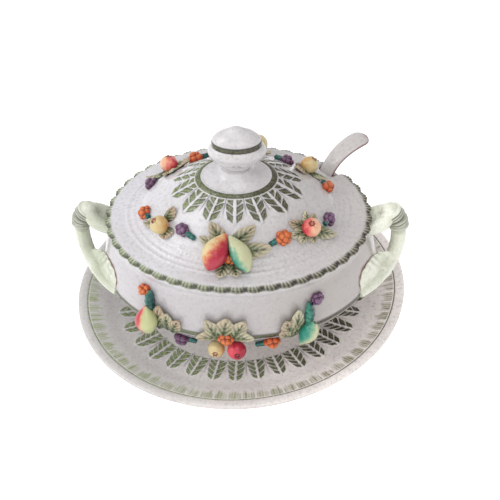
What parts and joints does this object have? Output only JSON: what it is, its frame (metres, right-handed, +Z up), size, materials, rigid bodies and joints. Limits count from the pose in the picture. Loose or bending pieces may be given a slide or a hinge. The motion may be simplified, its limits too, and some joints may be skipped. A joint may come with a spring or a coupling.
{
  "type": "soup tureen",
  "caption": "Oval footed soup tureen with domed lid, ladle and underplate, forked branch handles, and fruit and leaf sprigs in relief.",
  "frame": {"origin": "on the table under the middle of the tureen", "axes": "+Z up, +X along the tureen's long axis towards the right handle, -Y towards the front"},
  "size_m": [0.3984, 0.3506, 0.266],
  "materials": {
    "cream_glaze": "glossy crackled cream glaze with sage green painted bands and leaf tips",
    "celadon_glaze": "glossy pale celadon glaze, darker in the grooves",
    "leaf_glaze": "cream leaves shaded sage green towards the stem",
    "orange_glaze": "glossy orange with paler tops",
    "yellow_glaze": "pale yellow shaded with green and pink",
    "red_glaze": "crimson shaded to cream yellow",
    "purple_glaze": "mauve with dark aubergine between the berries",
    "lime_glaze": "yellow green shaded with teal down one side",
    "teal_glaze": "glossy teal"
  },
  "bodies": {
    "underplate": {"underplate": "cream_glaze"},
    "tureen": {"tureen_bowl": "cream_glaze", "left_handle": "celadon_glaze", "right_handle": "celadon_glaze", "front_bowl_leaves_left": "leaf_glaze", "front_bowl_centre_foliage": "leaf_glaze", "front_bowl_leaves_right": "leaf_glaze", "front_bowl_peach": "yellow_glaze", "front_bowl_fruit_yellow": "yellow_glaze", "front_bowl_fruit_red": "red_glaze", "front_bowl_pear_green": "lime_glaze", "front_bowl_berries_orange_centre": "orange_glaze", "front_bowl_berries_orange_end": "orange_glaze", "front_bowl_grapes_purple": "purple_glaze", "front_bowl_berries_orange": "orange_glaze", "front_bowl_grapes_purple_end": "purple_glaze", "front_bowl_pod_teal_left": "teal_glaze", "front_bowl_pod_teal_right": "teal_glaze", "back_bowl_leaves_left": "leaf_glaze", "back_bowl_centre_foliage": "leaf_glaze", "back_bowl_leaves_right": "leaf_glaze", "back_bowl_peach": "yellow_glaze", "back_bowl_fruit_yellow": "yellow_glaze", "back_bowl_fruit_red": "red_glaze", "back_bowl_pear_green": "lime_glaze", "back_bowl_berries_orange_centre": "orange_glaze", "back_bowl_berries_orange_end": "orange_glaze", "back_bowl_grapes_purple": "purple_glaze", "back_bowl_berries_orange": "orange_glaze", "back_bowl_grapes_purple_end": "purple_glaze", "back_bowl_pod_teal_left": "teal_glaze", "back_bowl_pod_teal_right": "teal_glaze"},
    "lid": {"lid": "cream_glaze", "lid_knob": "cream_glaze", "front_lid_apple_yellow_leaves": "leaf_glaze", "front_lid_centre_foliage": "leaf_glaze", "front_lid_apple_red_leaves": "leaf_glaze", "front_lid_pear_red": "red_glaze", "front_lid_pear_green": "lime_glaze", "front_lid_berries_orange_centre": "orange_glaze", "front_lid_apple_yellow": "yellow_glaze", "front_lid_apple_red": "red_glaze", "front_lid_berries_orange_end": "orange_glaze", "front_lid_berries_purple": "purple_glaze", "front_lid_berries_orange": "orange_glaze", "front_lid_berries_purple_end": "purple_glaze", "back_lid_apple_yellow_leaves": "leaf_glaze", "back_lid_centre_foliage": "leaf_glaze", "back_lid_apple_red_leaves": "leaf_glaze", "back_lid_pear_red": "red_glaze", "back_lid_pear_green": "lime_glaze", "back_lid_berries_orange_centre": "orange_glaze", "back_lid_apple_yellow": "yellow_glaze", "back_lid_apple_red": "red_glaze", "back_lid_berries_orange_end": "orange_glaze", "back_lid_berries_purple": "purple_glaze", "back_lid_berries_orange": "orange_glaze", "back_lid_berries_purple_end": "purple_glaze"},
    "ladle": {"ladle": "cream_glaze"}
  },
  "joints": [
    {"name": "bowl_lift", "type": "slide", "parent": "underplate", "child": "tureen", "axis": [0, 0, 1], "range_m": [0, 0.1]},
    {"name": "lid_lift", "type": "slide", "parent": "tureen", "child": "lid", "axis": [0, 0, 1], "range_m": [0, 0.3]},
    {"name": "ladle_lift", "type": "slide", "parent": "tureen", "child": "ladle", "axis": [0, 0, 1], "range_m": [0, 0.15]}
  ],
  "couplings": [
    {"joint": "ladle_lift", "follows": "lid_lift", "ratio": 0.5}
  ]
}
